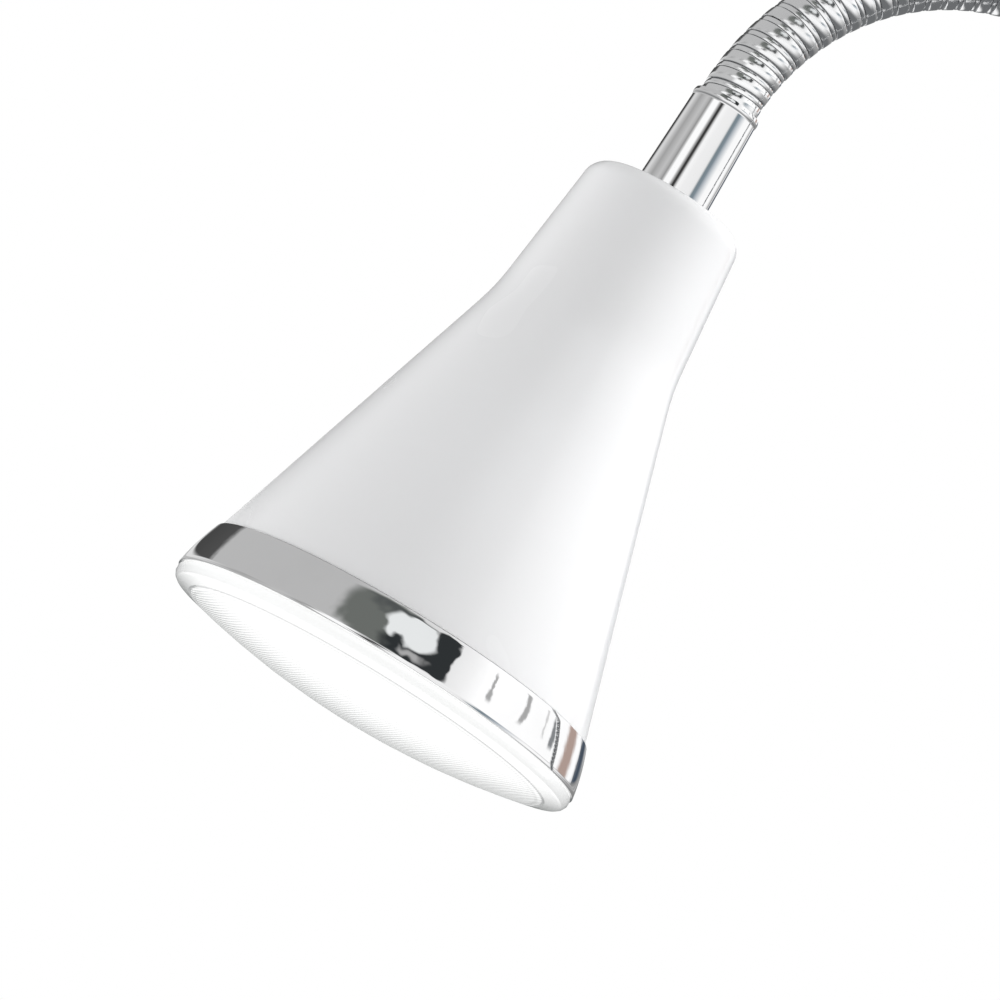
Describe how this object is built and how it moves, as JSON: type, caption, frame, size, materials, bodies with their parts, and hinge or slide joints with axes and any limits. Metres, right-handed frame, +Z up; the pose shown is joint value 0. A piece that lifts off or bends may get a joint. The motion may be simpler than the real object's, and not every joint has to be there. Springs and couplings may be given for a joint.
{
  "type": "clip-on reading lamp",
  "caption": "Reading lamp with a conical white LED head and chromed trim, on a chromed flexible arm that grows out of a white spring clip with a rocker switch.",
  "frame": {"origin": "centre of the upper rubber pad's gripping face, which the lamp hangs on", "axes": "+Z up along the arm's stem, -X towards the clip's mouth and the lamp's head, Y along the jaw's pivot pin"},
  "size_m": [0.2315, 0.072, 0.2992],
  "materials": {
    "white_lacquer": "gloss",
    "chrome": "polished",
    "lit_lens": "satin",
    "reflector_white": "satin",
    "aluminium": "satin",
    "steel": "satin",
    "brass": "satin",
    "copper_winding": "satin",
    "circuit_board": "satin",
    "phosphor": "satin",
    "white_plastic": "gloss",
    "black_plastic": "satin",
    "grey_rubber": "matte"
  },
  "bodies": {
    "clip": {"base_nipple": "brass", "base_nut": "brass", "base_sleeve": "chrome", "base_washer": "steel", "capacitor": "black_plastic", "clip_housing": "white_plastic", "cord_gland": "grey_rubber", "driver_board": "circuit_board", "driver_screw_1": "steel", "driver_screw_2": "steel", "housing_screw_1": "steel", "housing_screw_2": "steel", "housing_screw_3": "steel", "housing_screw_4": "steel", "inductor": "copper_winding", "neck_base_stub": "chrome", "pin_clip": "steel", "pivot_pin": "steel", "switch_body": "black_plastic", "terminal_block": "circuit_board", "torsion_spring": "steel", "transformer": "black_plastic", "upper_jaw": "white_plastic", "upper_pad": "grey_rubber"},
    "jaw": {"lower_jaw": "white_plastic", "lower_pad": "grey_rubber"},
    "switch_rocker": {"rocker": "white_plastic"},
    "link_01": {"neck_link_01": "chrome"},
    "link_02": {"neck_link_02": "chrome"},
    "link_03": {"neck_link_03": "chrome"},
    "link_04": {"neck_link_04": "chrome"},
    "link_05": {"neck_link_05": "chrome"},
    "link_06": {"neck_link_06": "chrome"},
    "link_07": {"neck_link_07": "chrome"},
    "link_08": {"neck_link_08": "chrome"},
    "link_09": {"neck_link_09": "chrome"},
    "link_10": {"neck_link_10": "chrome"},
    "link_11": {"neck_link_11": "chrome"},
    "link_12": {"neck_link_12": "chrome"},
    "link_13": {"neck_link_13": "chrome"},
    "link_14": {"neck_link_14": "chrome"},
    "head": {"shade": "white_lacquer", "trim_ring": "chrome", "lens": "lit_lens", "reflector": "reflector_white", "led_emitter": "phosphor", "led_board": "circuit_board", "heat_sink": "aluminium", "board_screw_1": "steel", "board_screw_2": "steel", "head_sleeve": "chrome", "head_nipple": "brass", "head_washer": "steel", "head_nut": "brass", "neck_head_stub": "chrome"}
  },
  "joints": [
    {"name": "jaw_hinge", "type": "hinge", "parent": "clip", "child": "jaw", "pos_m": [0.03, 0, -0.008], "axis": [0, -1, 0], "range_deg": [-17.5, 28], "stiffness_Nm_per_rad": 0.6, "deforming": ["torsion_spring"]},
    {"name": "rocker_tilt", "type": "hinge", "parent": "clip", "child": "switch_rocker", "pos_m": [0.034, 0, 0.0295], "axis": [0, 1, 0], "range_deg": [0, 16]},
    {"name": "stem_bend_1", "type": "hinge", "parent": "clip", "child": "link_01", "pos_m": [0.014, 0, 0.0582], "axis": [0, 1, 0], "range_deg": [-14, 14]},
    {"name": "stem_sway_1", "type": "hinge", "parent": "link_01", "child": "link_02", "pos_m": [0.014, 0, 0.0812], "axis": [1, 0, 0], "range_deg": [-18, 18]},
    {"name": "stem_bend_2", "type": "hinge", "parent": "link_02", "child": "link_03", "pos_m": [0.014, 0, 0.1042], "axis": [0, 1, 0], "range_deg": [-14, 14]},
    {"name": "stem_sway_2", "type": "hinge", "parent": "link_03", "child": "link_04", "pos_m": [0.014, 0, 0.1272], "axis": [1, 0, 0], "range_deg": [-18, 18]},
    {"name": "stem_bend_3", "type": "hinge", "parent": "link_04", "child": "link_05", "pos_m": [0.014, 0, 0.1502], "axis": [0, 1, 0], "range_deg": [-14, 14]},
    {"name": "stem_sway_3", "type": "hinge", "parent": "link_05", "child": "link_06", "pos_m": [0.014, 0, 0.1732], "axis": [1, 0, 0], "range_deg": [-18, 18]},
    {"name": "stem_bend_4", "type": "hinge", "parent": "link_06", "child": "link_07", "pos_m": [0.014, 0, 0.1962], "axis": [0, 1, 0], "range_deg": [-14, 14]},
    {"name": "arch_bend_1", "type": "hinge", "parent": "link_07", "child": "link_08", "pos_m": [0.01341, 0, 0.22044], "axis": [0, 1, 0], "range_deg": [0, 21.05]},
    {"name": "arch_bend_2", "type": "hinge", "parent": "link_08", "child": "link_09", "pos_m": [0.00884, 0, 0.23413], "axis": [0, 1, 0], "range_deg": [0, 21.05]},
    {"name": "arch_bend_3", "type": "hinge", "parent": "link_09", "child": "link_10", "pos_m": [0.00016, 0, 0.24567], "axis": [0, 1, 0], "range_deg": [0, 21.05]},
    {"name": "arch_bend_4", "type": "hinge", "parent": "link_10", "child": "link_11", "pos_m": [-0.01173, 0, 0.25386], "axis": [0, 1, 0], "range_deg": [0, 21.05]},
    {"name": "arch_bend_5", "type": "hinge", "parent": "link_11", "child": "link_12", "pos_m": [-0.02559, 0, 0.25787], "axis": [0, 1, 0], "range_deg": [0, 21.05]},
    {"name": "arch_bend_6", "type": "hinge", "parent": "link_12", "child": "link_13", "pos_m": [-0.04002, 0, 0.25729], "axis": [0, 1, 0], "range_deg": [0, 21.05]},
    {"name": "arch_bend_7", "type": "hinge", "parent": "link_13", "child": "link_14", "pos_m": [-0.05352, 0, 0.25216], "axis": [0, 1, 0], "range_deg": [0, 21.05]},
    {"name": "head_sway", "type": "hinge", "parent": "link_14", "child": "head", "pos_m": [-0.0647, 0, 0.24303], "axis": [-0.7488, 0, 0.6628], "range_deg": [-20, 20]}
  ],
  "couplings": [
    {"joint": "stem_bend_2", "follows": "stem_bend_1", "ratio": 1},
    {"joint": "stem_sway_2", "follows": "stem_sway_1", "ratio": 1},
    {"joint": "stem_bend_3", "follows": "stem_bend_1", "ratio": 1},
    {"joint": "stem_sway_3", "follows": "stem_sway_1", "ratio": 1},
    {"joint": "stem_bend_4", "follows": "stem_bend_1", "ratio": 1},
    {"joint": "arch_bend_2", "follows": "arch_bend_1", "ratio": 1},
    {"joint": "arch_bend_3", "follows": "arch_bend_1", "ratio": 1},
    {"joint": "arch_bend_4", "follows": "arch_bend_1", "ratio": 1},
    {"joint": "arch_bend_5", "follows": "arch_bend_1", "ratio": 1},
    {"joint": "arch_bend_6", "follows": "arch_bend_1", "ratio": 1},
    {"joint": "arch_bend_7", "follows": "arch_bend_1", "ratio": 1}
  ]
}
